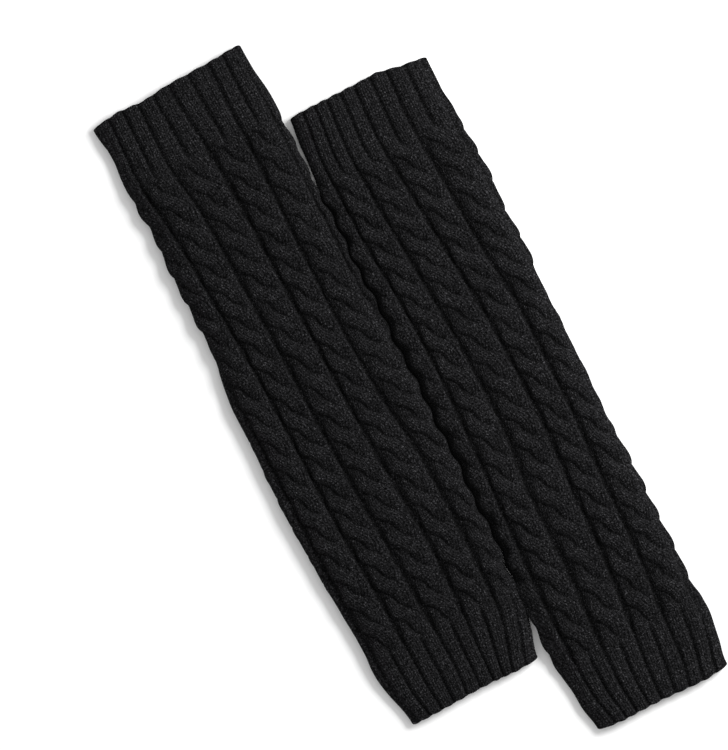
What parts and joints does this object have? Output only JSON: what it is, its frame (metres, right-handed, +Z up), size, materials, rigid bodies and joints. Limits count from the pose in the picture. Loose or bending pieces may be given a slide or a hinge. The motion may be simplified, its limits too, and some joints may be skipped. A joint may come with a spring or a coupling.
{
  "type": "pair of leg warmers laid flat",
  "caption": "Pair of cable-knit leg warmers with ribbed cuffs, laid flat side by side as pressed knitted tubes.",
  "frame": {"origin": "centre of the pair's box on the surface that it lies on", "axes": "+Y up the tubes from the bottom hems to the top hems, +X from the left warmer to the right one, +Z up"},
  "size_m": [0.1971, 0.4562, 0.0116],
  "materials": {
    "cabled_wool": "charcoal-black cable-knit yarn, soft and matt with a short fuzz",
    "ribbed_wool": "charcoal-black two-by-two rib in the same yarn, matt"
  },
  "bodies": {
    "root": {"left_body": "cabled_wool", "left_top_cuff": "ribbed_wool", "left_bottom_cuff": "ribbed_wool", "right_body": "cabled_wool", "right_top_cuff": "ribbed_wool", "right_bottom_cuff": "ribbed_wool"}
  },
  "joints": []
}
